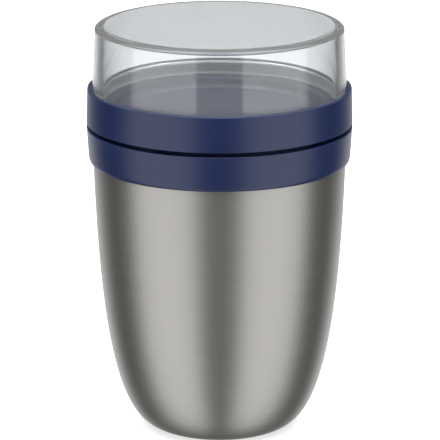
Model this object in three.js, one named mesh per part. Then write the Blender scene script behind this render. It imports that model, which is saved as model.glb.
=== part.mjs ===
// Insulated lunch pot: a double-walled steel pot, a plastic collar on its mouth, a two-sided screw lid
// and a clear cup that stands upside down in the lid.
// Millimetres, +Z up. The origin is the centre of the foot, on the surface that the pot stands on.

import * as THREE from "three";

// Fineness of the curved faces
const SEGMENTS = 48; // flats around the axis
const SMALL_SEGMENTS = 24; // flats around the small pieces under the vacuum
const SIDE_STEPS = 10; // flats along the curved side of the pot
const ROUND_PITCH = 0.8; // length along a rounded edge that one flat covers
const HALF_EDGE = 0.5; // share of an edge that a rounding may take when both of its ends are rounded
const MOST_OF_EDGE = 0.9; // and when only one end is

// Clearances
const FIT = 0.3; // between pieces that sit in each other
const SEAT = 0.15; // between pieces that rest on each other

// Steel pot
const SHEET = 0.6; // steel sheet of shell, liner and base cover
const SHELL_RADIUS = 50.8; // outside of the shell where it goes into the collar
const STEEL_HEIGHT = 110.8; // steel that shows, from the foot to the collar
const FOOT_RADIUS = 24.2; // outer edge of the flat foot ring
const FOOT_WIDTH = 3.2;
const FOOT_SWEEP = 19.3; // how far the side curve leaves the foot level
const SIDE_SWEEP = 60.0; // how far down the side curve stays nearly upright
const SIDE_LEAN = 0.031; // lean of the side where it meets the collar, as a slope
const SHOULDER_STEP = 3.9; // from the shell in to its neck
const SHOULDER_ROUND = 2.0;
const NECK_GAP = 0.2; // vacuum between the two steel necks
const LIP_ROUND = 0.3;

// Closing of the vacuum, in the foot
const BASE_THICKNESS = 0.8; // vacuum base
const BASE_LAP = 1.2; // how far it laps over the foot's lip
const COVER_RECESS = 0.8; // rim of the base cover above the foot
const PANEL_RISE = 0.4; // pressed panel of the base cover
const PANEL_MARGIN = 5.0; // width of the cover's flat rim
const BEAD_RADIUS = 2.4;
const BEAD_HEIGHT = 0.9;
const PUMP_HOLE_RADIUS = 0.9;
const DIMPLE_MARGIN = 1.2; // room round the bead in its dimple
const GETTER_RADIUS = 4.2;
const GETTER_HEIGHT = 2.0;
const GETTER_WALL = 0.5;
const GETTER_RECESS = 0.9; // from the getter's rim down to its filling
const GETTER_MARGIN = 2.4; // from the dimple to the getter
const BASE_VACUUM = 4.6; // from the getter up to the liner

// Collar
const COLLAR_BAND = 14.2; // height of the lower coloured band
const COLLAR_WALL = 2.3; // at the top of the band
const COLLAR_TAPER = 0.7; // the band's outside draws in by this much downwards
const COLLAR_EDGE = 3.4; // height of the rounded lower edge
const COLLAR_WEB = 2.6; // plate that rests on the steel shoulder
const NECK_WALL = 1.9; // plastic wall of the screw neck
const NECK_HEIGHT = 5.9; // from the band's top face to the steel lip
const NECK_SET = 0.3; // the plastic neck ends this much under the steel lip
const COLLAR_SEAL_WIDTH = 2.0;
const COLLAR_SEAL_HEIGHT = 1.2;

// Screw lid
const BAND_GAP = 1.7; // dark joint between the two coloured bands
const LID_BAND = 14.2; // height of the upper coloured band
const LID_TAPER = 0.4; // the band's outside draws in by this much upwards
const LID_LIP = 1.75; // thickness of the lip round the cup
const THREAD_ROOM = 1.3; // between the screw neck and the lid's bore
const LID_SEAL_HEIGHT = 1.2;
const SEPTUM = 1.6; // plate between the pot's seal and the cup's seal
const LAND_RISE = 0.6; // land inside the cup's rim, above the groove
const DISH_WALL = 1.6;
const DISH_DEPTH = 3.8; // floor of the lid below the land
const DISH_DRAFT = 1.6; // the dish draws in by this much downwards
const DISH_FLOOR = 1.8; // thickness of the floor
const PLUG_GAP = 1.9; // between the dish and the pot's mouth
const BAND_EDGE = 0.6; // rounding of the edges along the joint
const LID_EDGE = 1.1; // rounding of the lid's upper outer edge
const INNER_EDGE = 0.6; // rounding of edges inside the lid
const DISH_CORNER = 1.8;

// Cup
const CUP_STAND = 25.1; // height of the cup above the lid
const CUP_WALL = 3.6;
const CUP_FLOOR = 3.0; // thickness of the flat end
const CUP_TAPER = 1.1; // the cup draws in by this much upwards
const CUP_EDGE = 2.3; // rounding of the outer edge of the flat end
const CUP_CORNER = 1.8; // rounding of the inner corner of the flat end
const CUP_THREAD_STEP = 1.0; // the rim is this much smaller, for its thread
const CUP_STEP_DEPTH = 0.7; // the step lies this far below the lid's edge
const CUP_SEAL_HEIGHT = 1.0;
const RIM_EDGE = 0.5; // rounding of rims and the screw neck

// Radii that follow from the sizes above
const lipRadius = FOOT_RADIUS - FOOT_WIDTH;
const steelNeckRadius = SHELL_RADIUS - SHOULDER_STEP;
const linerRadius = steelNeckRadius - SHEET - NECK_GAP;
const linerInset = SHELL_RADIUS - linerRadius;
const mouthRadius = linerRadius - SHEET;
const skirtRadius = SHELL_RADIUS + FIT;
const bandRadius = skirtRadius + COLLAR_WALL;
const neckInner = steelNeckRadius + FIT;
const neckOuter = neckInner + NECK_WALL;
const sealOuter = neckInner + COLLAR_SEAL_WIDTH;
const lidBore = neckOuter + THREAD_ROOM;
const lidTopRadius = bandRadius - LID_TAPER;
const socketRadius = lidTopRadius - LID_LIP;
const cupRadius = socketRadius - FIT;
const rimOuter = cupRadius - CUP_THREAD_STEP;
const rimInner = cupRadius - CUP_WALL;
const landRadius = rimInner - FIT;
const plugRadius = mouthRadius - PLUG_GAP;
const dishRadius = plugRadius - DISH_WALL;
const dimpleRadius = BEAD_RADIUS + DIMPLE_MARGIN;
const getterOffset = dimpleRadius + BASE_THICKNESS + GETTER_MARGIN + GETTER_RADIUS;

// Heights that follow from the sizes above
const coverTop = COVER_RECESS + PANEL_RISE + SHEET;
const lipTop = coverTop + FIT;
const baseBottom = lipTop + SEAT;
const dimpleDepth = BEAD_HEIGHT + 2 * SEAT;
const baseTop = baseBottom + BASE_THICKNESS;
const getterBottom = baseTop + SEAT;
const linerFloor = getterBottom + GETTER_HEIGHT + BASE_VACUUM;
const collarTop = STEEL_HEIGHT + COLLAR_BAND;
const shoulderTop = collarTop - COLLAR_WEB - FIT;
const mouthTop = collarTop + NECK_HEIGHT;
const steelNeckTop = mouthTop - SHEET - SEAT;
const neckTop = mouthTop - NECK_SET;
const lidBottom = collarTop + BAND_GAP;
const lidTop = lidBottom + LID_BAND;
const lidSealBottom = mouthTop + SEAT;
const lidRoof = lidSealBottom + LID_SEAL_HEIGHT + SEAT;
const grooveFloor = lidRoof + SEPTUM;
const landTop = grooveFloor + LAND_RISE;
const dishFloor = landTop - DISH_DEPTH;
const cupSealBottom = grooveFloor + SEAT;
const cupRim = cupSealBottom + CUP_SEAL_HEIGHT + SEAT;
const cupTop = lidTop + CUP_STAND;

// Finishes
const brushedSteel = new THREE.MeshStandardMaterial({ color: 0xb0ada7, roughness: 0.35, metalness: 1 });
const plainSteel = new THREE.MeshStandardMaterial({ color: 0xc6c6c4, roughness: 0.25, metalness: 1 });
const bluePlastic = new THREE.MeshStandardMaterial({ color: 0x26325c, roughness: 0.45, metalness: 0 });
const clearPlastic = new THREE.MeshStandardMaterial({
  color: 0xeef3f3,
  roughness: 0.05,
  metalness: 0,
  transparent: true,
  opacity: 0.25,
});
const silicone = new THREE.MeshStandardMaterial({ color: 0x8c9098, roughness: 0.6, metalness: 0 });
const glassSolder = new THREE.MeshStandardMaterial({ color: 0x3a4038, roughness: 0.15, metalness: 0 });
const getterMetal = new THREE.MeshStandardMaterial({ color: 0x6e6e70, roughness: 0.7, metalness: 0.6 });

// One corner of an outline: radius, height, and how far its rounding reaches back along each edge.
function corner(radius, height, before = 0, after = before) {
  return { point: new THREE.Vector2(radius, height), before, after };
}

// The point on an edge where a rounding starts. Two roundings on one edge share it.
function setBack(from, to, reach) {
  const edge = to.point.clone().sub(from.point);
  const share = to.before > 0 ? HALF_EDGE : MOST_OF_EDGE;
  return from.point.clone().add(edge.setLength(Math.min(reach, edge.length() * share)));
}

// The points of an outline, with each rounded corner as a curve from edge to edge.
function outline(corners) {
  const points = [];
  corners.forEach((here, i) => {
    if (here.before === 0) {
      points.push(here.point);
      return;
    }
    const start = setBack(here, corners[(i + corners.length - 1) % corners.length], here.before);
    const end = setBack(here, corners[(i + 1) % corners.length], here.after);
    const flats = Math.ceil(Math.max(here.before, here.after) / ROUND_PITCH);
    points.push(...new THREE.QuadraticBezierCurve(start, here.point, end).getPoints(flats));
  });
  return points;
}

// Turns an outline about the Z axis. It runs up its outside, and closes on itself or ends on the axis.
function revolve(corners, segments = SEGMENTS) {
  const points = outline(corners);
  if (points[0].x > 0) {
    points.push(points[0].clone());
  }
  return new THREE.LatheGeometry(points, segments).rotateX(Math.PI / 2);
}

// The curved side of the pot, drawn in and lifted: from the foot, where it is level, up to the collar.
function side(inset, lift) {
  const foot = new THREE.Vector2(FOOT_RADIUS - inset, lift);
  const sweep = new THREE.Vector2(FOOT_RADIUS - inset + FOOT_SWEEP, lift);
  const lean = new THREE.Vector2(SHELL_RADIUS - inset - SIDE_LEAN * SIDE_SWEEP, STEEL_HEIGHT - SIDE_SWEEP);
  const top = new THREE.Vector2(SHELL_RADIUS - inset, STEEL_HEIGHT);
  const points = new THREE.CubicBezierCurve(foot, sweep, lean, top).getPoints(SIDE_STEPS);
  return points.map((point) => corner(point.x, point.y));
}

function outerShell() {
  return revolve([
    corner(lipRadius, 0),
    ...side(0, 0),
    corner(SHELL_RADIUS, shoulderTop, SHOULDER_ROUND),
    corner(steelNeckRadius, shoulderTop),
    corner(steelNeckRadius, steelNeckTop),
    corner(steelNeckRadius - SHEET, steelNeckTop),
    corner(steelNeckRadius - SHEET, shoulderTop - SHEET),
    corner(SHELL_RADIUS - SHEET, shoulderTop - SHEET, SHOULDER_ROUND - SHEET),
    ...side(SHEET, SHEET).reverse(),
    corner(lipRadius + SHEET, SHEET),
    corner(lipRadius + SHEET, lipTop),
    corner(lipRadius, lipTop),
  ]);
}

function innerLiner() {
  return revolve([
    corner(0, linerFloor),
    ...side(linerInset, linerFloor),
    corner(linerRadius, mouthTop - SHEET),
    corner(steelNeckRadius, mouthTop - SHEET),
    corner(steelNeckRadius, mouthTop, LIP_ROUND),
    corner(mouthRadius, mouthTop, LIP_ROUND),
    ...side(linerInset + SHEET, linerFloor + SHEET).reverse(),
    corner(0, linerFloor + SHEET),
  ]);
}

function vacuumBase() {
  const edge = lipRadius + SHEET + BASE_LAP;
  return revolve([
    corner(PUMP_HOLE_RADIUS, baseBottom + dimpleDepth),
    corner(dimpleRadius, baseBottom + dimpleDepth),
    corner(dimpleRadius, baseBottom),
    corner(edge, baseBottom),
    corner(edge, baseTop),
    corner(dimpleRadius + BASE_THICKNESS, baseTop),
    corner(dimpleRadius + BASE_THICKNESS, baseTop + dimpleDepth),
    corner(PUMP_HOLE_RADIUS, baseTop + dimpleDepth),
  ]);
}

function sealBead() {
  const bottom = baseBottom + SEAT;
  return revolve(
    [
      corner(0, bottom),
      corner(BEAD_RADIUS, bottom, BEAD_HEIGHT),
      corner(BEAD_RADIUS, bottom + BEAD_HEIGHT),
      corner(0, bottom + BEAD_HEIGHT),
    ],
    SMALL_SEGMENTS,
  );
}

// A pressed cup with its mouth up. It is drawn about its own axis and set down beside the dimple.
function getterCup() {
  return revolve(
    [
      corner(0, 0),
      corner(GETTER_RADIUS, 0, GETTER_WALL),
      corner(GETTER_RADIUS, GETTER_HEIGHT),
      corner(GETTER_RADIUS - GETTER_WALL, GETTER_HEIGHT),
      corner(GETTER_RADIUS - GETTER_WALL, GETTER_HEIGHT - GETTER_RECESS),
      corner(0, GETTER_HEIGHT - GETTER_RECESS),
    ],
    SMALL_SEGMENTS,
  );
}

function baseCover() {
  const rim = lipRadius - FIT;
  const panel = rim - PANEL_MARGIN;
  return revolve([
    corner(0, COVER_RECESS + PANEL_RISE),
    corner(panel - PANEL_RISE, COVER_RECESS + PANEL_RISE),
    corner(panel, COVER_RECESS),
    corner(rim, COVER_RECESS),
    corner(rim, COVER_RECESS + SHEET),
    corner(panel, COVER_RECESS + SHEET),
    corner(panel - PANEL_RISE, coverTop),
    corner(0, coverTop),
  ]);
}

function collarRing() {
  const sealRoof = shoulderTop + 2 * SEAT + COLLAR_SEAL_HEIGHT;
  const sealWall = sealOuter + FIT;
  return revolve([
    corner(skirtRadius, STEEL_HEIGHT),
    corner(bandRadius - COLLAR_TAPER, STEEL_HEIGHT, COLLAR_WALL, COLLAR_EDGE),
    corner(bandRadius, collarTop, BAND_EDGE),
    corner(neckOuter, collarTop),
    corner(neckOuter, neckTop, RIM_EDGE),
    corner(neckInner, neckTop),
    corner(neckInner, sealRoof),
    corner(sealWall, sealRoof),
    corner(sealWall, shoulderTop + FIT),
    corner(skirtRadius, shoulderTop + FIT),
  ]);
}

// A flat ring of silicone between two radii, with softened edges.
function flatSeal(inner, outer, bottom, height) {
  const edge = height / 4;
  return revolve([
    corner(inner, bottom),
    corner(outer, bottom, edge),
    corner(outer, bottom + height, edge),
    corner(inner, bottom + height),
  ]);
}

function collarSeal() {
  return flatSeal(neckInner, sealOuter, shoulderTop + SEAT, COLLAR_SEAL_HEIGHT);
}

function lidSeal() {
  return flatSeal(plugRadius + FIT, lidBore - FIT, lidSealBottom, LID_SEAL_HEIGHT);
}

function cupSeal() {
  return flatSeal(landRadius + FIT, socketRadius - FIT, cupSealBottom, CUP_SEAL_HEIGHT);
}

// One moulding: the band, the plate with a seat for a seal on either side, and the dished floor.
function screwLid() {
  const floorUnderside = dishFloor - DISH_FLOOR;
  return revolve([
    corner(0, floorUnderside),
    corner(plugRadius, floorUnderside, DISH_CORNER),
    corner(plugRadius, lidRoof),
    corner(lidBore, lidRoof),
    corner(lidBore, lidBottom, RIM_EDGE),
    corner(bandRadius, lidBottom, BAND_EDGE),
    corner(lidTopRadius, lidTop, LID_EDGE),
    corner(socketRadius, lidTop, INNER_EDGE),
    corner(socketRadius, grooveFloor),
    corner(landRadius, grooveFloor),
    corner(landRadius, landTop),
    corner(dishRadius, landTop, INNER_EDGE),
    corner(dishRadius - DISH_DRAFT, dishFloor, DISH_CORNER),
    corner(0, dishFloor),
  ]);
}

function clearCup() {
  const stepTop = lidTop - CUP_STEP_DEPTH;
  return revolve([
    corner(rimInner, cupRim),
    corner(rimOuter, cupRim, RIM_EDGE),
    corner(rimOuter, stepTop - CUP_THREAD_STEP),
    corner(cupRadius, stepTop),
    corner(cupRadius - CUP_TAPER, cupTop, CUP_EDGE),
    corner(0, cupTop),
    corner(0, cupTop - CUP_FLOOR),
    corner(rimInner - CUP_TAPER, cupTop - CUP_FLOOR, CUP_CORNER),
  ]);
}

const pot = new THREE.Group();

function addPiece(name, geometry, material, x = 0, z = 0) {
  const mesh = new THREE.Mesh(geometry, material);
  mesh.name = name;
  mesh.position.set(x, 0, z);
  pot.add(mesh);
}

addPiece("outer_shell", outerShell(), brushedSteel);
addPiece("inner_liner", innerLiner(), plainSteel);
addPiece("vacuum_base", vacuumBase(), plainSteel);
addPiece("seal_bead", sealBead(), glassSolder);
addPiece("getter", getterCup(), getterMetal, getterOffset, getterBottom);
addPiece("base_cover", baseCover(), brushedSteel);
addPiece("collar", collarRing(), bluePlastic);
addPiece("collar_seal", collarSeal(), silicone);
addPiece("screw_lid", screwLid(), bluePlastic);
addPiece("lid_seal", lidSeal(), silicone);
addPiece("cup", clearCup(), clearPlastic);
addPiece("cup_seal", cupSeal(), silicone);

export default pot;
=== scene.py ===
"""Looks of an insulated lunch pot: a brushed steel pot, a blue collar and screw lid, and a clear cup.

Metres, +Z up. Every piece that shows is turned about the Z axis, so each one is drawn as an outline in
the XZ plane, rounded corner by corner, and spun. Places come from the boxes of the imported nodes.
"""

import math

import bmesh
import bpy
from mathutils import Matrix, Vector


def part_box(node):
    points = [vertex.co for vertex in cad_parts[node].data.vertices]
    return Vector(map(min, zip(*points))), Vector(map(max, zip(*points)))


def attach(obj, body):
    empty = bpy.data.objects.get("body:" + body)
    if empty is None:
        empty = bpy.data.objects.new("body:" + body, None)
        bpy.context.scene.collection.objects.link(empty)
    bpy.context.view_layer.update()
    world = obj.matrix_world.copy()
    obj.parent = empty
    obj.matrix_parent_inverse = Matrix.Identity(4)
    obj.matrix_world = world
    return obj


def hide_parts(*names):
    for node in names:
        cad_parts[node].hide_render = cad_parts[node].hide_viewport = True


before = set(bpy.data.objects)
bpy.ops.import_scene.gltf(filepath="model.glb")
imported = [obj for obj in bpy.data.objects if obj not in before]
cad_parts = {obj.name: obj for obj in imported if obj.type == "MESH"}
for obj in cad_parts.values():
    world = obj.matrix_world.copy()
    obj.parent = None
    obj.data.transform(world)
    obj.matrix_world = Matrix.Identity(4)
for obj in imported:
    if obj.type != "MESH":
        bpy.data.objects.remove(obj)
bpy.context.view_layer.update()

MM = 0.001
WHITE = (1, 1, 1, 1)

# Fineness
TURN_STEPS = 144  # flats round the axis, also along a thread
SIDE_STEPS = 40  # flats along the curved side of the pot
EDGE_STEPS = 8  # flats along the collar's lower edge
CUP_EDGE_STEPS = 20  # flats along the rounded edge of the cup's end
ROUND_PITCH = 0.3 * MM  # length along a rounding that one flat covers
LEAST_ROUND_STEPS = 3
ROUND_PROFILE = 0.5  # an arc of a circle
TOUCH = 0.001 * MM  # points closer than this are one point
SMOOTH_ANGLE = math.radians(38)  # edges that turn by more stay sharp

# Clearances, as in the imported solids
FIT = 0.3 * MM  # between pieces that sit in each other
SEAT = 0.15 * MM  # between pieces that rest on each other

# Steel pot
SHEET = 0.6 * MM  # steel sheet of shell, liner and base cover
FOOT_RADIUS = 24.2 * MM  # outer edge of the flat foot ring
FOOT_WIDTH = 3.2 * MM
FOOT_SWEEP = 19.3 * MM  # how far the side curve leaves the foot level
FOOT_ROUND = 0.5 * MM
SIDE_SWEEP = 60.0 * MM  # how far down the side curve stays nearly upright
SIDE_LEAN = 0.031  # lean of the side where it meets the collar, as a slope
SHOULDER_ROUND = 2.0 * MM
NECK_GAP = 0.2 * MM  # vacuum between the two steel necks
LIP_ROUND = 0.28 * MM
PANEL_MARGIN = 5.0 * MM  # width of the base cover's flat rim
PANEL_RISE = 0.4 * MM  # pressed panel of the base cover
PANEL_ROUND = 0.35 * MM

# Collar
COLLAR_BAND = 14.2 * MM  # height of the lower coloured band
COLLAR_WALL = 2.3 * MM  # at the top of the band
COLLAR_TAPER = 0.7 * MM  # the band's outside draws in by this much downwards
COLLAR_EDGE = 3.4 * MM  # height of the rounded lower edge
COLLAR_WEB = 2.6 * MM  # plate that rests on the steel shoulder
EDGE_START = 0.15 * MM  # flat lower face between the steel and the rounded edge
NECK_WALL = 1.9 * MM  # plastic wall of the screw neck
BAND_EDGE = 0.3 * MM  # rounding of the edges along the joint of the bands
RIM_EDGE = 0.5 * MM  # rounding of rims and the screw neck

# Screw lid
THREAD_ROOM = 1.3 * MM  # between the screw neck and the lid's bore
LID_TAPER = 0.4 * MM  # the band's outside draws in by this much upwards
LID_LIP = 1.75 * MM  # thickness of the lip round the cup
LID_EDGE = 0.6 * MM  # rounding of the lid's upper outer edge
SEPTUM = 1.6 * MM  # plate between the pot's seal and the cup's seal
LAND_RISE = 0.6 * MM  # land inside the cup's rim, above the groove
DISH_WALL = 1.6 * MM
DISH_DEPTH = 3.8 * MM  # floor of the lid below the land
DISH_DRAFT = 1.6 * MM  # the dish draws in by this much downwards
DISH_FLOOR = 1.8 * MM  # thickness of the floor
DISH_CORNER = 1.8 * MM
PLUG_GAP = 1.9 * MM  # between the dish and the pot's mouth
INNER_EDGE = 0.3 * MM  # rounding of edges inside the lid

# Cup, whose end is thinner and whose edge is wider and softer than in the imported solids
CUP_WALL = 3.6 * MM
CUP_FLOOR = 1.8 * MM  # thickness of the flat end
CUP_TAPER = 1.1 * MM  # the cup draws in by this much upwards
CUP_EDGE_ACROSS = 6.4 * MM  # the rounded outer edge of the flat end reaches this far in
CUP_EDGE_DOWN = 1.5 * MM  # and this far down
CUP_CORNER = 0.3 * MM  # rounding of the inner corner of the flat end
CUP_THREAD_STEP = 1.0 * MM  # the rim is this much smaller, for its thread
CUP_STEP_DEPTH = 0.7 * MM  # the step lies this far below the lid's edge

# Seals
GASKET_ROUND = 0.25  # rounding of a gasket's edges, as a share of its thickness

# Screw threads of collar and lid, and of cup and lid
THREAD_STARTS = 3
THREAD_LEAD = 9.0 * MM  # rise in a turn, as the joints have it
THREAD_ROOT = 1.6 * MM  # width at the wall
THREAD_CREST = 0.7 * MM  # width at the top of the ridge
THREAD_HEIGHT = 0.8 * MM
THREAD_BURY = 0.3 * MM  # depth of a ridge inside the wall that it joins
THREAD_MARGIN = 1.1 * MM  # from the end of a wall to the middle of a ridge
BORE_MARGIN = 0.7 * MM  # from the height of the neck's rim down to the middle of a ridge in the bore
THREAD_RUN_OUT = 3.0 * MM  # length over which the end of a ridge goes down into the wall
THREAD_SINK = 1.1  # how far it goes down, in heights of the ridge
RIDGE_CORNERS = 6

# Finishes: colours from dark to light, roughness from low to high, noise per metre along X, Y and Z
NOISE_LOW = 0.3  # most of a noise lies between these
NOISE_HIGH = 0.7
PLAIN = 1.0  # detail of a noise
FINE = 2.0
FINEST = 3.0
STEEL_COLOURS = ((0.402, 0.391, 0.369), (0.448, 0.437, 0.413))
STEEL_ROUGHNESS = (0.39, 0.44)
STEEL_LINES = (45, 45, 3600)
STEEL_RELIEF = 0.004 * MM
STEEL_STRETCH = 0.42  # how far the brushing draws out reflections
STEEL_STRETCH_TURN = 0.25  # of a full turn
SATIN_COLOURS = ((0.62, 0.62, 0.61), (0.72, 0.72, 0.71))
SATIN_ROUGHNESS = (0.26, 0.36)
SATIN_LINES = (60, 60, 2200)
BLUE_COLOURS = ((0.0061, 0.0181, 0.083), (0.0073, 0.0203, 0.090))
BLUE_ROUGHNESS = (0.32, 0.38)
BLUE_CLOUD = (60, 60, 60)
BLUE_GRAIN = (5200, 5200, 5200)
BLUE_RELIEF = 0.004 * MM
BLUE_INDEX = 1.58  # of refraction
CLEAR_COLOUR = (0.962, 0.980, 0.988, 1)
CLEAR_INDEX = 1.58
CLEAR_SHARE = 0.90  # of the light goes through, and the rest makes a faint haze
FROST_ROUGHNESS = 0.5  # of the cup's rim, which sits in the lid
FROST_BLEND = 0.6 * MM  # height over which the frost goes over to polish
POLISH_ROUGHNESS = 0.03
SILICONE_COLOURS = ((0.20, 0.21, 0.24), (0.24, 0.25, 0.28))
SILICONE_ROUGHNESS = (0.5, 0.62)
SILICONE_DUST = (900, 900, 900)
SOLDER_COLOURS = ((0.03, 0.04, 0.03), (0.05, 0.06, 0.05))
SOLDER_ROUGHNESS = 0.12
SOLDER_CLOUD = (700, 700, 700)
GETTER_COLOURS = ((0.10, 0.10, 0.105), (0.17, 0.17, 0.175))
GETTER_ROUGHNESS = 0.7
GETTER_METAL = 0.6  # share of metal in the pressed powder
GETTER_POWDER = (2500, 2500, 2500)
GETTER_RELIEF = 0.03 * MM

# Camera, fitted to the photograph
CAMERA_BACK = 1.300
CAMERA_HEIGHT = 0.45029
CAMERA_TILT = 0.274  # radians below the horizon
LENS = 272.9  # millimetres, as the sensor
SENSOR = 36.0
PICTURE_WIDTH = 440
AXIS_SHIFT = 0.45  # pixels from the middle of the picture to the pot's axis
ROW_SHIFT = 0.5

# Floor
FLOOR_RADIUS = 3.0
FLOOR_DROP = 0.05 * MM  # below the foot, so that the two faces don't meet
FLOOR_COLOUR = (0.9, 0.9, 0.9, 1)
FLOOR_ROUGHNESS = 0.9
FLOOR_GLOW = 0.55  # keeps the sheet white where little light falls on it

# Studio: brightness by direction, in degrees round from the camera's side and up from the horizon
SOFTBOX_NEAR = 21.0
SOFTBOX_FAR = 86.5
SOFTBOX_BLUR = 1.5
SOFTBOX_TOP_START = 4.0
SOFTBOX_TOP_END = 14.0
TABLE_START = 121.0  # azimuth at which the white table behind the pot starts to glow
TABLE_FULL = 157.0
TABLE_DIM_START = -20.0  # height at which the table darkens towards the pot's foot
TABLE_DIM_FULL = -50.0
TABLE_END = -16.0  # height at which the table ends
WALL_FOOT = -12.5  # height at which the wall behind it begins
WALL_START = 137.0
WALL_FULL = 182.0
WALL_DIM_START = -8.0
WALL_DIM_FULL = 10.0
OVERHEAD_START = 32.0
OVERHEAD_FULL = 58.0
NADIR_START = -68.0
NADIR_FULL = -82.0
BACKGROUND = 1.0
FRONT_GLOW = 0.07
SOFTBOX_GLOW = 1.34
FLAG_GLOW = 0.065
SIDE_TOP_GLOW = 0.30
TABLE_GLOW = 1.42
TABLE_NEAR_GLOW = 0.15
WALL_GLOW = 1.34
WALL_TOP_GLOW = 0.20
OVERHEAD_GLOW = 2.90
NADIR_GLOW = 0.06

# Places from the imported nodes
shell_low, shell_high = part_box("outer_shell")
liner_low, liner_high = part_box("inner_liner")
cover_low, cover_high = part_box("base_cover")
collar_low, collar_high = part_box("collar")
lid_low, lid_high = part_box("screw_lid")
_, lid_seal_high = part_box("lid_seal")
cup_low, cup_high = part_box("cup")

shell_radius = shell_high.x
steel_height = collar_low.z
collar_top = steel_height + COLLAR_BAND
shoulder_top = collar_top - COLLAR_WEB - FIT
steel_neck_radius = liner_high.x
lip_radius = FOOT_RADIUS - FOOT_WIDTH
lip_top = cover_high.z + FIT
liner_radius = steel_neck_radius - SHEET - NECK_GAP
mouth_radius = liner_radius - SHEET
skirt_radius = shell_radius + FIT
band_radius = skirt_radius + COLLAR_WALL
neck_inner = steel_neck_radius + FIT
neck_outer = neck_inner + NECK_WALL
lid_bore = neck_outer + THREAD_ROOM
lid_roof = lid_seal_high.z + SEAT
groove_floor = lid_roof + SEPTUM
land_top = groove_floor + LAND_RISE
dish_floor = land_top - DISH_DEPTH
lid_top_radius = band_radius - LID_TAPER
socket_radius = lid_top_radius - LID_LIP
cup_radius = cup_high.x
cup_step_top = lid_high.z - CUP_STEP_DEPTH
cup_step_low = cup_step_top - CUP_THREAD_STEP
rim_outer = cup_radius - CUP_THREAD_STEP
rim_inner = cup_radius - CUP_WALL
land_radius = rim_inner - FIT
plug_radius = mouth_radius - PLUG_GAP
dish_radius = plug_radius - DISH_WALL
half_pitch = THREAD_LEAD / THREAD_STARTS / 2
neck_thread_low = collar_top + THREAD_MARGIN
neck_thread_high = collar_high.z - THREAD_MARGIN
bore_thread_low = lid_low.z + THREAD_MARGIN
bore_thread_high = collar_high.z - BORE_MARGIN
cup_thread_low = cup_low.z + THREAD_MARGIN
cup_thread_high = cup_step_low - THREAD_MARGIN


# Ways of making a piece


def deselect_all():
    bpy.ops.object.select_all(action="DESELECT")


def select(piece):
    deselect_all()
    bpy.context.view_layer.objects.active = piece
    piece.select_set(True)


def enter_edit():
    bpy.ops.object.mode_set(mode="EDIT")


def leave_edit():
    bpy.ops.object.mode_set(mode="OBJECT")


def select_mesh():
    bpy.ops.mesh.select_all(action="SELECT")


def curve_points(controls, steps):
    """Points along a Bezier curve, both ends included."""
    points = []
    for step in range(steps + 1):
        share = step / steps
        row = [Vector(control) for control in controls]
        while len(row) > 1:
            row = [before.lerp(after, share) for before, after in zip(row, row[1:])]
        points.append((row[0].x, row[0].y))
    return points


def draw_outline(name, corners):
    """One vertex, extruded from corner to corner. An outline that doesn't start on the axis closes."""
    deselect_all()
    bpy.ops.mesh.primitive_plane_add(size=MM)
    piece = bpy.context.object
    piece.name = name
    enter_edit()
    select_mesh()
    bpy.ops.mesh.merge(type="CENTER")
    places = [Vector((corner[0], 0, corner[1])) for corner in corners]
    if places[0].x > TOUCH:
        places.append(places[0])
    bpy.ops.transform.translate(value=places[0])
    for here, there in zip(places, places[1:]):
        bpy.ops.mesh.extrude_vertices_move(TRANSFORM_OT_translate={"value": there - here})
    select_mesh()
    bpy.ops.mesh.remove_doubles(threshold=TOUCH)
    return piece


def round_corner(piece, radius, height, reach):
    """Rounds the outline's corner at this place, reaching this far along both edges."""
    outline = bmesh.from_edit_mesh(piece.data)
    place = Vector((radius, 0, height))
    for vertex in outline.verts:
        vertex.select_set((vertex.co - place).length < TOUCH)
    outline.select_flush_mode()
    bmesh.update_edit_mesh(piece.data)
    steps = max(LEAST_ROUND_STEPS, math.ceil(reach / ROUND_PITCH))
    bpy.ops.mesh.bevel(offset=reach, segments=steps, affect="VERTICES", profile=ROUND_PROFILE)


def turned(name, corners):
    """A piece turned from an outline. A corner is (radius, height) or (radius, height, rounding)."""
    piece = draw_outline(name, corners)
    for corner in corners:
        if len(corner) > 2:
            round_corner(piece, *corner)
    select_mesh()
    bpy.ops.mesh.spin(steps=TURN_STEPS, angle=math.tau, center=(0, 0, 0), axis=(0, 0, 1))
    select_mesh()
    bpy.ops.mesh.remove_doubles(threshold=TOUCH)
    bpy.ops.mesh.normals_make_consistent(inside=False)
    leave_edit()
    smooth(piece)
    return piece


def smooth(piece):
    """Smooth shading, with large faces kept flat up to the roundings beside them."""
    bpy.ops.object.shade_smooth_by_angle(angle=SMOOTH_ANGLE)
    modifier = piece.modifiers.new("flat_faces", "WEIGHTED_NORMAL")
    modifier.keep_sharp = True
    bpy.ops.object.modifier_apply(modifier=modifier.name)


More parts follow.
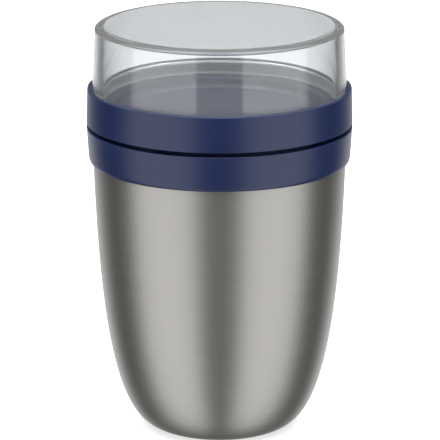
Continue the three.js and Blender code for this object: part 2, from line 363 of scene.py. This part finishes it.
def ridge(wall, crest, low, high, base, start):
    """One ridge of a thread: a trapezoid on a round wall, swept up a helix.

    The helix of the first start passes the height base at angle 0.
    """
    out = 1 if crest > wall else -1
    foot = wall - out * THREAD_BURY
    begin = math.tau * ((low - base) / THREAD_LEAD + start / THREAD_STARTS)
    sweep = math.tau * (high - low) / THREAD_LEAD
    rib = draw_outline("ridge", [
        (foot, low - THREAD_ROOT / 2),
        (wall, low - THREAD_ROOT / 2),
        (crest, low - THREAD_CREST / 2),
        (crest, low + THREAD_CREST / 2),
        (wall, low + THREAD_ROOT / 2),
        (foot, low + THREAD_ROOT / 2),
    ])
    leave_edit()
    rib.rotation_euler.z = begin
    bpy.ops.object.transform_apply(location=False, rotation=True, scale=False)
    screw = rib.modifiers.new("helix", "SCREW")
    screw.axis = "Z"
    screw.angle = sweep
    screw.screw_offset = high - low
    screw.steps = math.ceil(TURN_STEPS * sweep / math.tau)
    screw.render_steps = screw.steps
    bpy.ops.object.modifier_apply(modifier=screw.name)
    select(rib)
    enter_edit()
    select_mesh()
    bpy.ops.mesh.fill_holes(sides=RIDGE_CORNERS)
    run_out(rib, begin, -1, wall, crest, low)
    run_out(rib, begin + sweep, 1, wall, crest, high)
    select_mesh()
    bpy.ops.mesh.normals_make_consistent(inside=False)
    leave_edit()
    return rib


def run_out(rib, angle, way, wall, crest, height):
    """Draws one end of a ridge on along the thread and down into the wall."""
    outward = Vector((math.cos(angle), math.sin(angle), 0))
    along = Vector((-math.sin(angle), math.cos(angle), 0))
    end = outward * wall + Vector((0, 0, height))
    mesh = bmesh.from_edit_mesh(rib.data)
    nearest = min(mesh.faces, key=lambda face: (face.calc_center_median() - end).length)
    for face in mesh.faces:
        face.select_set(face == nearest)
    bmesh.update_edit_mesh(rib.data)
    sink = outward * (wall - crest) * THREAD_SINK
    shift = along * way * THREAD_RUN_OUT + sink
    bpy.ops.mesh.extrude_region_move(TRANSFORM_OT_translate={"value": shift})


def threaded(piece, wall, crest, low, high, base):
    """Adds the ridges of a thread to a turned piece."""
    for start in range(THREAD_STARTS):
        rib = ridge(wall, crest, low, high, base, start)
        select(piece)
        union = piece.modifiers.new("thread", "BOOLEAN")
        union.operation = "UNION"
        union.solver = "EXACT"
        union.object = rib
        bpy.ops.object.modifier_apply(modifier=union.name)
        bpy.data.objects.remove(rib)
    smooth(piece)
    return piece


def coat(piece, material):
    piece.data.materials.clear()
    piece.data.materials.append(material)


def place(piece, body, node, slot, material):
    """The piece stands for a node, moves with its body and takes a finish."""
    coat(piece, material)
    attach(piece, body)
    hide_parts(node)


# Pieces


def side(inset, lift):
    """The pot's side, drawn in and lifted: level at the foot, nearly upright at the collar."""
    foot = (FOOT_RADIUS - inset, lift)
    sweep = (FOOT_RADIUS - inset + FOOT_SWEEP, lift)
    lean = (shell_radius - inset - SIDE_LEAN * SIDE_SWEEP, steel_height - SIDE_SWEEP)
    top = (shell_radius - inset, steel_height)
    return curve_points([foot, sweep, lean, top], SIDE_STEPS)


def steel_shell():
    inner_neck = steel_neck_radius - SHEET
    return turned("steel_shell", [
        (lip_radius, shell_low.z, FOOT_ROUND),
        *side(0, shell_low.z),
        (shell_radius, shoulder_top, SHOULDER_ROUND),
        (steel_neck_radius, shoulder_top),
        (steel_neck_radius, shell_high.z),
        (inner_neck, shell_high.z),
        (inner_neck, shoulder_top - SHEET),
        (shell_radius - SHEET, shoulder_top - SHEET, SHOULDER_ROUND - SHEET),
        *reversed(side(SHEET, shell_low.z + SHEET)),
        (lip_radius + SHEET, shell_low.z + SHEET),
        (lip_radius + SHEET, lip_top),
        (lip_radius, lip_top),
    ])


def steel_liner():
    inset = shell_radius - liner_radius
    return turned("steel_liner", [
        (0, liner_low.z),
        *side(inset, liner_low.z),
        (liner_radius, liner_high.z - SHEET),
        (steel_neck_radius, liner_high.z - SHEET),
        (steel_neck_radius, liner_high.z, LIP_ROUND),
        (mouth_radius, liner_high.z, LIP_ROUND),
        *reversed(side(inset + SHEET, liner_low.z + SHEET)),
        (0, liner_low.z + SHEET),
    ])


def steel_base_cover():
    rim = cover_high.x
    panel = rim - PANEL_MARGIN
    under = cover_low.z
    return turned("steel_base_cover", [
        (0, under + PANEL_RISE),
        (panel - PANEL_RISE, under + PANEL_RISE, PANEL_ROUND),
        (panel, under, PANEL_ROUND),
        (rim, under),
        (rim, under + SHEET),
        (panel, under + SHEET, PANEL_ROUND),
        (panel - PANEL_RISE, cover_high.z, PANEL_ROUND),
        (0, cover_high.z),
    ])


def blue_collar():
    _, seal_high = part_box("collar_seal")
    seal_roof = seal_high.z + SEAT
    seal_wall = seal_high.x + FIT
    edge_radius = band_radius - COLLAR_TAPER
    edge = curve_points(
        [
            (skirt_radius + EDGE_START, steel_height),
            (edge_radius, steel_height),
            (edge_radius, steel_height + COLLAR_EDGE),
        ],
        EDGE_STEPS,
    )
    collar = turned("blue_collar", [
        (skirt_radius, steel_height),
        *edge,
        (band_radius, collar_top, BAND_EDGE),
        (neck_outer, collar_top),
        (neck_outer, collar_high.z, RIM_EDGE),
        (neck_inner, collar_high.z),
        (neck_inner, seal_roof),
        (seal_wall, seal_roof),
        (seal_wall, shoulder_top + FIT),
        (skirt_radius, shoulder_top + FIT),
    ])
    crest = neck_outer + THREAD_HEIGHT
    return threaded(collar, neck_outer, crest, neck_thread_low, neck_thread_high, neck_thread_low)


def blue_lid():
    underside = dish_floor - DISH_FLOOR
    lid = turned("blue_lid", [
        (0, underside),
        (plug_radius, underside, DISH_CORNER),
        (plug_radius, lid_roof),
        (lid_bore, lid_roof),
        (lid_bore, lid_low.z, RIM_EDGE),
        (band_radius, lid_low.z, BAND_EDGE),
        (lid_top_radius, lid_high.z, LID_EDGE),
        (socket_radius, lid_high.z, INNER_EDGE),
        (socket_radius, groove_floor),
        (land_radius, groove_floor),
        (land_radius, land_top),
        (dish_radius, land_top, INNER_EDGE),
        (dish_radius - DISH_DRAFT, dish_floor, DISH_CORNER),
        (0, dish_floor),
    ])
    crest = lid_bore - THREAD_HEIGHT
    base = neck_thread_low + half_pitch
    lid = threaded(lid, lid_bore, crest, bore_thread_low, bore_thread_high, base)
    crest = socket_radius - THREAD_HEIGHT
    base = cup_thread_low + half_pitch
    return threaded(lid, socket_radius, crest, cup_thread_low, cup_thread_high, base)


def clear_cup():
    end_radius = cup_radius - CUP_TAPER
    lean = CUP_TAPER / (cup_high.z - cup_step_top)
    edge = curve_points(
        [
            (end_radius + lean * CUP_EDGE_DOWN, cup_high.z - CUP_EDGE_DOWN),
            (end_radius, cup_high.z),
            (end_radius - CUP_EDGE_ACROSS, cup_high.z),
        ],
        CUP_EDGE_STEPS,
    )
    cup = turned("clear_cup", [
        (0, cup_high.z - CUP_FLOOR),
        (rim_inner - CUP_TAPER, cup_high.z - CUP_FLOOR, CUP_CORNER),
        (rim_inner, cup_low.z),
        (rim_outer, cup_low.z, RIM_EDGE),
        (rim_outer, cup_step_low),
        (cup_radius, cup_step_top),
        *edge,
        (0, cup_high.z),
    ])
    crest = rim_outer + THREAD_HEIGHT
    return threaded(cup, rim_outer, crest, cup_thread_low, cup_thread_high, cup_thread_low)


def flat_gasket(name, node, inner_radius):
    low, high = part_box(node)
    edge = (high.z - low.z) * GASKET_ROUND
    return turned(name, [
        (inner_radius, low.z, edge),
        (high.x, low.z, edge),
        (high.x, high.z, edge),
        (inner_radius, high.z, edge),
    ])


# Shader nodes


def feed(tree, node, inputs):
    """Links a node's inputs to sockets, and sets those that get a plain value."""
    for name, value in inputs.items():
        if isinstance(value, bpy.types.NodeSocket):
            tree.links.new(value, node.inputs[name])
        else:
            node.inputs[name].default_value = value


def axes_of(tree, coordinates):
    """The sockets X, Y and Z of a kind of coordinates."""
    where = tree.nodes.new("ShaderNodeTexCoord")
    axes = tree.nodes.new("ShaderNodeSeparateXYZ")
    feed(tree, axes, {"Vector": where.outputs[coordinates]})
    return axes.outputs


def math_node(tree, operation, *values):
    """The result of a Math node on sockets or numbers."""
    node = tree.nodes.new("ShaderNodeMath")
    node.operation = operation
    feed(tree, node, dict(enumerate(values)))
    return node.outputs["Value"]


def fade(tree, value, start, full, before, after):
    """Goes smoothly from one socket or number to another as a value passes from start to full."""
    node = tree.nodes.new("ShaderNodeMapRange")
    node.interpolation_type = "SMOOTHSTEP"
    feed(tree, node, {
        "Value": value,
        "From Min": start,
        "From Max": full,
        "To Min": before,
        "To Max": after,
    })
    return node.outputs["Result"]


def stretched_noise(tree, scale, detail):
    """Noise on the piece's own coordinates, with its own scale along each axis."""
    where = tree.nodes.new("ShaderNodeTexCoord")
    stretch = tree.nodes.new("ShaderNodeMapping")
    feed(tree, stretch, {"Vector": where.outputs["Object"], "Scale": scale})
    noise = tree.nodes.new("ShaderNodeTexNoise")
    feed(tree, noise, {"Vector": stretch.outputs["Vector"], "Scale": 1.0, "Detail": detail})
    return noise.outputs["Fac"]


def shades(tree, noise, dark, light):
    """Blends from a dark to a light shade of one colour."""
    ramp = tree.nodes.new("ShaderNodeValToRGB")
    ramp.color_ramp.elements[0].position = NOISE_LOW
    ramp.color_ramp.elements[0].color = (*dark, 1)
    ramp.color_ramp.elements[1].position = NOISE_HIGH
    ramp.color_ramp.elements[1].color = (*light, 1)
    feed(tree, ramp, {"Fac": noise})
    return ramp.outputs["Color"]


def spread(tree, noise, low, high):
    """Turns a noise into a value between two limits."""
    reach = tree.nodes.new("ShaderNodeMapRange")
    feed(tree, reach, {
        "Value": noise,
        "From Min": NOISE_LOW,
        "From Max": NOISE_HIGH,
        "To Min": low,
        "To Max": high,
    })
    return reach.outputs["Result"]


def relief(tree, noise, depth):
    bump = tree.nodes.new("ShaderNodeBump")
    feed(tree, bump, {"Height": noise, "Strength": 1.0, "Distance": depth})
    return bump.outputs["Normal"]


def new_finish(name):
    """A new material, with its node tree and its main shader."""
    material = bpy.data.materials.new(name)
    material.use_nodes = True
    tree = material.node_tree
    return material, tree, tree.nodes["Principled BSDF"]


# Finishes


def brushed_steel():
    material, tree, shader = new_finish("brushed_steel")
    lines = stretched_noise(tree, STEEL_LINES, FINEST)
    feed(tree, shader, {
        "Base Color": shades(tree, lines, *STEEL_COLOURS),
        "Roughness": spread(tree, lines, *STEEL_ROUGHNESS),
        "Normal": relief(tree, lines, STEEL_RELIEF),
        "Metallic": 1.0,
        "Anisotropic": STEEL_STRETCH,
        "Anisotropic Rotation": STEEL_STRETCH_TURN,
    })
    return material


def satin_steel():
    material, tree, shader = new_finish("satin_steel")
    lines = stretched_noise(tree, SATIN_LINES, FINE)
    feed(tree, shader, {
        "Base Color": shades(tree, lines, *SATIN_COLOURS),
        "Roughness": spread(tree, lines, *SATIN_ROUGHNESS),
        "Metallic": 1.0,
    })
    return material


def blue_plastic():
    material, tree, shader = new_finish("blue_plastic")
    grain = stretched_noise(tree, BLUE_GRAIN, PLAIN)
    cloud = stretched_noise(tree, BLUE_CLOUD, FINE)
    feed(tree, shader, {
        "Base Color": shades(tree, cloud, *BLUE_COLOURS),
        "Roughness": spread(tree, grain, *BLUE_ROUGHNESS),
        "Normal": relief(tree, grain, BLUE_RELIEF),
        "IOR": BLUE_INDEX,
    })
    return material


def clear_plastic():
    """Clear and polished above the step at the cup's rim, and frosted below it."""
    material, tree, shader = new_finish("clear_plastic")
    height = axes_of(tree, "Object")["Z"]
    frost_end = cup_step_top - FROST_BLEND
    feed(tree, shader, {
        "Base Color": CLEAR_COLOUR,
        "Roughness": fade(tree, height, frost_end, cup_step_top, FROST_ROUGHNESS, POLISH_ROUGHNESS),
        "IOR": CLEAR_INDEX,
        "Transmission Weight": CLEAR_SHARE,
    })
    return material


def silicone():
    material, tree, shader = new_finish("silicone")
    dust = stretched_noise(tree, SILICONE_DUST, FINEST)
    feed(tree, shader, {
        "Base Color": shades(tree, dust, *SILICONE_COLOURS),
        "Roughness": spread(tree, dust, *SILICONE_ROUGHNESS),
    })
    return material


def glass_solder():
    material, tree, shader = new_finish("glass_solder")
    cloud = stretched_noise(tree, SOLDER_CLOUD, FINE)
    feed(tree, shader, {
        "Base Color": shades(tree, cloud, *SOLDER_COLOURS),
        "Roughness": SOLDER_ROUGHNESS,
    })
    return material


def getter_metal():
    material, tree, shader = new_finish("getter_metal")
    powder = stretched_noise(tree, GETTER_POWDER, FINEST)
    feed(tree, shader, {
        "Base Color": shades(tree, powder, *GETTER_COLOURS),
        "Normal": relief(tree, powder, GETTER_RELIEF),
        "Roughness": GETTER_ROUGHNESS,
        "Metallic": GETTER_METAL,
    })
    return material


# Camera, light and floor


def camera():
    bpy.ops.object.camera_add(
        location=(0, -CAMERA_BACK, CAMERA_HEIGHT),
        rotation=(math.pi / 2 - CAMERA_TILT, 0, 0),
    )
    eye = bpy.context.object
    eye.name = "camera"
    eye.data.lens = LENS
    eye.data.sensor_width = SENSOR
    eye.data.shift_x = AXIS_SHIFT / PICTURE_WIDTH
    eye.data.shift_y = ROW_SHIFT / PICTURE_WIDTH
    bpy.context.scene.camera = eye


def studio():
    """The room's light: two tall softboxes beside the camera and dark flags at the sides.

    Behind the pot are a white table and a wall, light comes from overhead, and what is right under the
    pot is dark. The camera itself sees a white background.
    """
    world = bpy.data.worlds.new("studio")
    world.use_nodes = True
    tree = world.node_tree
    axes = axes_of(tree, "Generated")
    towards = math_node(tree, "MULTIPLY", axes["Y"], -1)
    turn = math_node(tree, "ARCTAN2", axes["X"], towards)
    azimuth = math_node(tree, "DEGREES", math_node(tree, "ABSOLUTE", turn))
    height = math_node(tree, "DEGREES", math_node(tree, "ARCSINE", axes["Z"]))
    depth = math_node(tree, "MULTIPLY", height, -1)

    near_edge = (SOFTBOX_NEAR - SOFTBOX_BLUR, SOFTBOX_NEAR + SOFTBOX_BLUR)
    far_edge = (SOFTBOX_FAR - SOFTBOX_BLUR, SOFTBOX_FAR + SOFTBOX_BLUR)
    sides = fade(tree, azimuth, *near_edge, FRONT_GLOW, SOFTBOX_GLOW)
    sides = fade(tree, azimuth, *far_edge, sides, FLAG_GLOW)
    sides = fade(tree, height, SOFTBOX_TOP_START, SOFTBOX_TOP_END, sides, SIDE_TOP_GLOW)
    table_glow = fade(tree, depth, -TABLE_DIM_START, -TABLE_DIM_FULL, TABLE_GLOW, TABLE_NEAR_GLOW)
    table = fade(tree, azimuth, TABLE_START, TABLE_FULL, sides, table_glow)
    wall_glow = fade(tree, height, WALL_DIM_START, WALL_DIM_FULL, WALL_GLOW, WALL_TOP_GLOW)
    wall = fade(tree, azimuth, WALL_START, WALL_FULL, sides, wall_glow)
    room = fade(tree, height, TABLE_END, WALL_FOOT, table, wall)
    room = fade(tree, height, OVERHEAD_START, OVERHEAD_FULL, room, OVERHEAD_GLOW)
    room = fade(tree, depth, -NADIR_START, -NADIR_FULL, room, NADIR_GLOW)

    ray = tree.nodes.new("ShaderNodeLightPath")
    glow = fade(tree, ray.outputs["Is Camera Ray"], 0, 1, room, BACKGROUND)
    feed(tree, tree.nodes["Background"], {"Strength": glow, "Color": WHITE})
    bpy.context.scene.world = world
    bpy.context.scene.view_settings.view_transform = "Standard"


def pale_floor():
    """A white sheet under the pot that only the camera sees.

    The pot mirrors the studio, whose table is drawn in its light.
    """
    floor = turned("floor", [(0, -FLOOR_DROP), (FLOOR_RADIUS, -FLOOR_DROP)])
    material, tree, shader = new_finish("pale_floor")
    feed(tree, shader, {
        "Base Color": FLOOR_COLOUR,
        "Roughness": FLOOR_ROUGHNESS,
        "Specular IOR Level": 0.0,
        "Emission Color": WHITE,
        "Emission Strength": FLOOR_GLOW,
    })
    coat(floor, material)
    floor.visible_diffuse = False
    floor.visible_glossy = False
    floor.visible_transmission = False
    floor.visible_shadow = False


camera()
studio()
pale_floor()

brushed = brushed_steel()
satin = satin_steel()
blue = blue_plastic()
clear = clear_plastic()
rubber = silicone()

place(steel_shell(), "pot", "outer_shell", "brushed_steel", brushed)
place(steel_base_cover(), "pot", "base_cover", "brushed_steel", brushed)
place(steel_liner(), "pot", "inner_liner", "liner_steel", satin)
place(blue_collar(), "pot", "collar", "blue_plastic", blue)
place(blue_lid(), "lid", "screw_lid", "blue_plastic", blue)
place(clear_cup(), "cup", "cup", "clear_plastic", clear)
lid_gasket = flat_gasket("lid_gasket", "lid_seal", plug_radius + FIT)
place(lid_gasket, "lid_seal", "lid_seal", "silicone", rubber)
cup_gasket = flat_gasket("cup_gasket", "cup_seal", land_radius + FIT)
place(cup_gasket, "cup_seal", "cup_seal", "silicone", rubber)

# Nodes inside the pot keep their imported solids
coat(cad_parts["vacuum_base"], satin)
coat(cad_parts["seal_bead"], glass_solder())
coat(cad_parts["getter"], getter_metal())
coat(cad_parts["collar_seal"], rubber)
